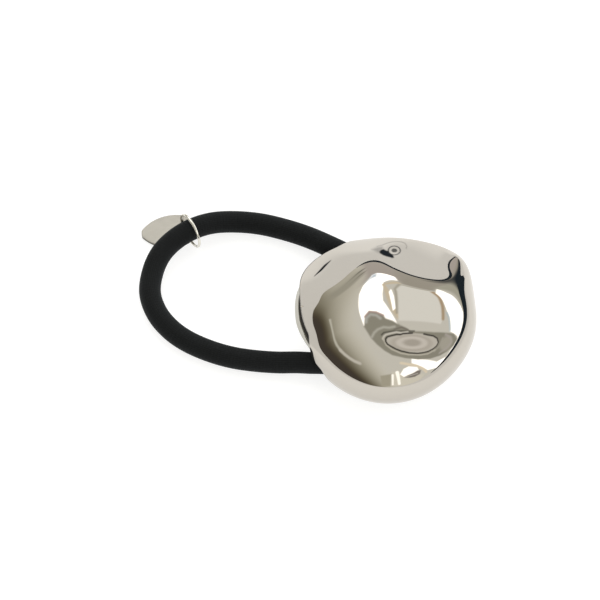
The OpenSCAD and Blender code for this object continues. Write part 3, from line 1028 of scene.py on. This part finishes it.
class HAIRTIE_OT_stage(bpy.types.Operator):
    """Adds the camera, the pale floor and the painted studio that lights and mirrors in the metal"""

    bl_idname = "hair_tie.stage"
    bl_label = "Stage"

    def execute(self, context):
        size = context.scene.hair_tie_stage
        self.add_camera(context.scene, size)
        floor = self.add_floor(size)
        studio = self.add_studio(size)
        card = self.add_card(size)
        world = bpy.data.worlds.new("plain_white")
        world.use_nodes = True
        world.node_tree.nodes["Background"].inputs["Color"].default_value = (1, 1, 1, 1)
        context.scene.world = world
        context.scene.view_settings.view_transform = "Standard"
        return {"FINISHED"}

    def add_camera(self, scene, size):
        """A long lens at the photograph's angle, square on the middle of the picture."""
        camera = bpy.data.objects.new("camera", bpy.data.cameras.new("camera"))
        scene.collection.objects.link(camera)
        away = Vector((0, -np.cos(size.elevation), np.sin(size.elevation)))
        camera.location = Vector(size.target) + away * size.distance
        camera.rotation_euler = away.to_track_quat("Z", "Y").to_euler()
        camera.data.lens = camera.data.sensor_width * size.distance / size.view_width
        camera.data.clip_end = 100.0
        scene.camera = camera

    def add_floor(self, size):
        """A round floor, reach by azimuth, that is a little darker past what the picture shows of it."""
        azimuth = full_turn(size.floor_columns)
        reach = size.floor_radius * np.array([[0.05], [0.3], [1.0]])
        points = np.stack(np.broadcast_arrays(reach * np.cos(azimuth), reach * np.sin(azimuth), 0.0), -1)
        floor = surface("floor", points, first=(0, 0, 0))
        finish = Finish("pale_floor")
        x, y, _ = finish.parts(finish.place())
        away = (abs(x - size.target[0]) / size.seen_side).maximum(y / size.seen_back)
        far = finish.step(away, 1.02, 1.5)
        glow = finish.mix(far, (1, 1, 1), [size.floor_far] * 3)
        colour = finish.mix(far, size.floor_colour, [c * size.floor_far for c in size.floor_colour])
        floor.data.materials.append(finish.dull_glow(colour, glow, size.floor_glow))
        return floor

    def add_card(self, size):
        """A low black card that stands on the floor round the right and the back, outside the picture: it
        goes out along its table of azimuths, up its outside and down its inside. Only the metal sees it."""
        azimuth, reach, height = (np.array(row, float) for row in zip(*CARD))
        turn = np.radians(np.linspace(azimuth[0], azimuth[-1], size.card_steps))
        reach = MM * np.exp(np.interp(np.degrees(turn), azimuth, np.log(reach)))
        height = MM * np.interp(np.degrees(turn), azimuth, height)
        far = reach + size.card_thick
        out = np.stack([reach, reach, far, far])
        up = np.stack([height, 0 * height, 0 * height, height])
        points = np.stack([out * np.cos(turn), out * np.sin(turn), up], -1).transpose(1, 0, 2)
        card = surface("black_card", points, first=points[0].mean(0), last=points[-1].mean(0))
        card.visible_camera = card.visible_diffuse = card.visible_shadow = False
        card.data.materials.append(Finish("black_card").dull_glow(CARD_COLOUR, CARD_GLOW, 1.0))
        return card

    def add_studio(self, size):
        """A dome, polar angle by azimuth, whose points hold the studio's brightness in their direction."""
        azimuth = full_turn(size.light_columns)
        polar = np.linspace(0, np.pi / 2, size.light_rings + 1)[1:, None]
        level = np.sin(polar)
        points = np.broadcast_arrays(level * np.cos(azimuth), level * np.sin(azimuth), np.cos(polar))
        points = size.light_radius * np.stack(points, -1)
        studio = surface("studio", points, first=(0, 0, size.light_radius))
        u, v = np.degrees(polar) * np.cos(azimuth), np.degrees(polar) * np.sin(azimuth)
        crown = studio_colours(np.zeros(1), np.zeros(1))
        seen = np.insert(np.vstack([studio_colours(u, v).reshape(-1, 3), crown]), 3, 1.0, axis=1)
        layer = studio.data.attributes.new("brightness", "FLOAT_COLOR", "POINT")
        layer.data.foreach_set("color", seen.astype(np.float32).ravel())
        studio.visible_camera = False
        finish = Finish("painted_studio")
        paint = finish.node("ShaderNodeAttribute", {"attribute_name": "brightness"}, {}, output="Color")
        studio.data.materials.append(finish.dull_glow((0, 0, 0, 1), paint, size.light))
        return studio


class HAIRTIE_OT_pebble(bpy.types.Operator):
    """Adds the hollow, mirror-polished pebble"""

    bl_idname = "hair_tie.pebble"
    bl_label = "Pebble"

    def execute(self, context):
        size = context.scene.hair_tie_pebble
        points, (outer_crown, inner_crown) = pebble_points(size)
        piece = surface("pebble", points, first=outer_crown, last=inner_crown)
        # painted dark reflections of the dent, its eye and the slit, on the outside's rows only
        dark_reflection = dark_reflection_at(points)
        dark_reflection[size.rows:] = 0
        layer = piece.data.attributes.new("dark_reflection", "FLOAT", "POINT")
        layer.data.foreach_set("value", np.append(dark_reflection, (0, 0)).astype(np.float32))
        wear(piece, "dome_shell", polished_finish(size))
        return {"FINISHED"}


class HAIRTIE_OT_plate(bpy.types.Operator):
    """Adds the back plate, with a polished edge and a brushed underside"""

    bl_idname = "hair_tie.plate"
    bl_label = "Back plate"

    def execute(self, context):
        size = context.scene.hair_tie_plate
        points = plate_points(size, context.scene.hair_tie_pebble)
        piece = surface("pebble_plate", points, first=(0, 0, PLATE_HIGH.z), last=(0, 0, PLATE_LOW.z))
        wear(piece, "back_plate", plate_finish(size))
        return {"FINISHED"}


class HAIRTIE_OT_elastic(bpy.types.Operator):
    bl_idname = "hair_tie.elastic"
    bl_label = "Covered elastic"

    def execute(self, context):
        size = context.scene.hair_tie_elastic
        points, along, length = elastic_points(size)
        piece = surface("covered_band", points, loop=True, along=along)
        wear(piece, "elastic", cover_finish(size))
        path = np.roll(MM * np.array(ROUTE), -ROUTE_JOINT, axis=0)
        path = np.vstack([path, (1 - ROUTE_GAP) * path[0] + ROUTE_GAP * path[-1]])
        return {"FINISHED"}


class HAIRTIE_OT_tag(bpy.types.Operator):
    """Adds the jump ring and the satin leaf"""

    bl_idname = "hair_tie.tag"
    bl_label = "Ring and leaf"

    def execute(self, context):
        size = context.scene.hair_tie_tag
        points, first, last = ring_points(size)
        ring = surface("jump_ring", points, first=first, last=last)
        wear(ring, "tag_ring", wire_finish(size))
        leaf = surface("leaf", tag_points(size), loop=True)
        wear(leaf, "tag", leaf_finish(size))
        return {"FINISHED"}


class HAIRTIE_PT_parts(bpy.types.Panel):
    """Sizes, colours and parts of the hair tie"""

    bl_idname = "HAIRTIE_PT_parts"
    bl_label = "Hair tie"
    bl_space_type = "VIEW_3D"
    bl_region_type = "UI"
    bl_category = "Hair tie"

    def draw(self, context):
        for operator, settings, _ in PARTS:
            box = self.layout.box()
            box.operator(operator.bl_idname)
            group = getattr(context.scene, settings)
            for name in group.bl_rna.properties.keys():
                if name not in ("rna_type", "name"):
                    box.prop(group, name)


PARTS = (
    # operator, its settings on the scene, their group
    (HAIRTIE_OT_stage, "hair_tie_stage", StageSettings),
    (HAIRTIE_OT_pebble, "hair_tie_pebble", PebbleSettings),
    (HAIRTIE_OT_plate, "hair_tie_plate", PlateSettings),
    (HAIRTIE_OT_tag, "hair_tie_tag", TagSettings),
    (HAIRTIE_OT_elastic, "hair_tie_elastic", ElasticSettings),
)


def register():
    for operator, settings, group in PARTS:
        bpy.utils.register_class(group)
        setattr(bpy.types.Scene, settings, bpy.props.PointerProperty(type=group))
        bpy.utils.register_class(operator)
    bpy.utils.register_class(HAIRTIE_PT_parts)


def unregister():
    bpy.utils.unregister_class(HAIRTIE_PT_parts)
    for operator, settings, group in reversed(PARTS):
        bpy.utils.unregister_class(operator)
        delattr(bpy.types.Scene, settings)
        bpy.utils.unregister_class(group)


def main():
    """Registers the parts and adds the stage, the pebble, the plate, the ring and leaf, and the elastic last.
    """
    register()
    bpy.ops.hair_tie.stage()
    bpy.ops.hair_tie.pebble()
    bpy.ops.hair_tie.plate()
    bpy.ops.hair_tie.tag()
    bpy.ops.hair_tie.elastic()


if __name__ == "__main__":
    main()
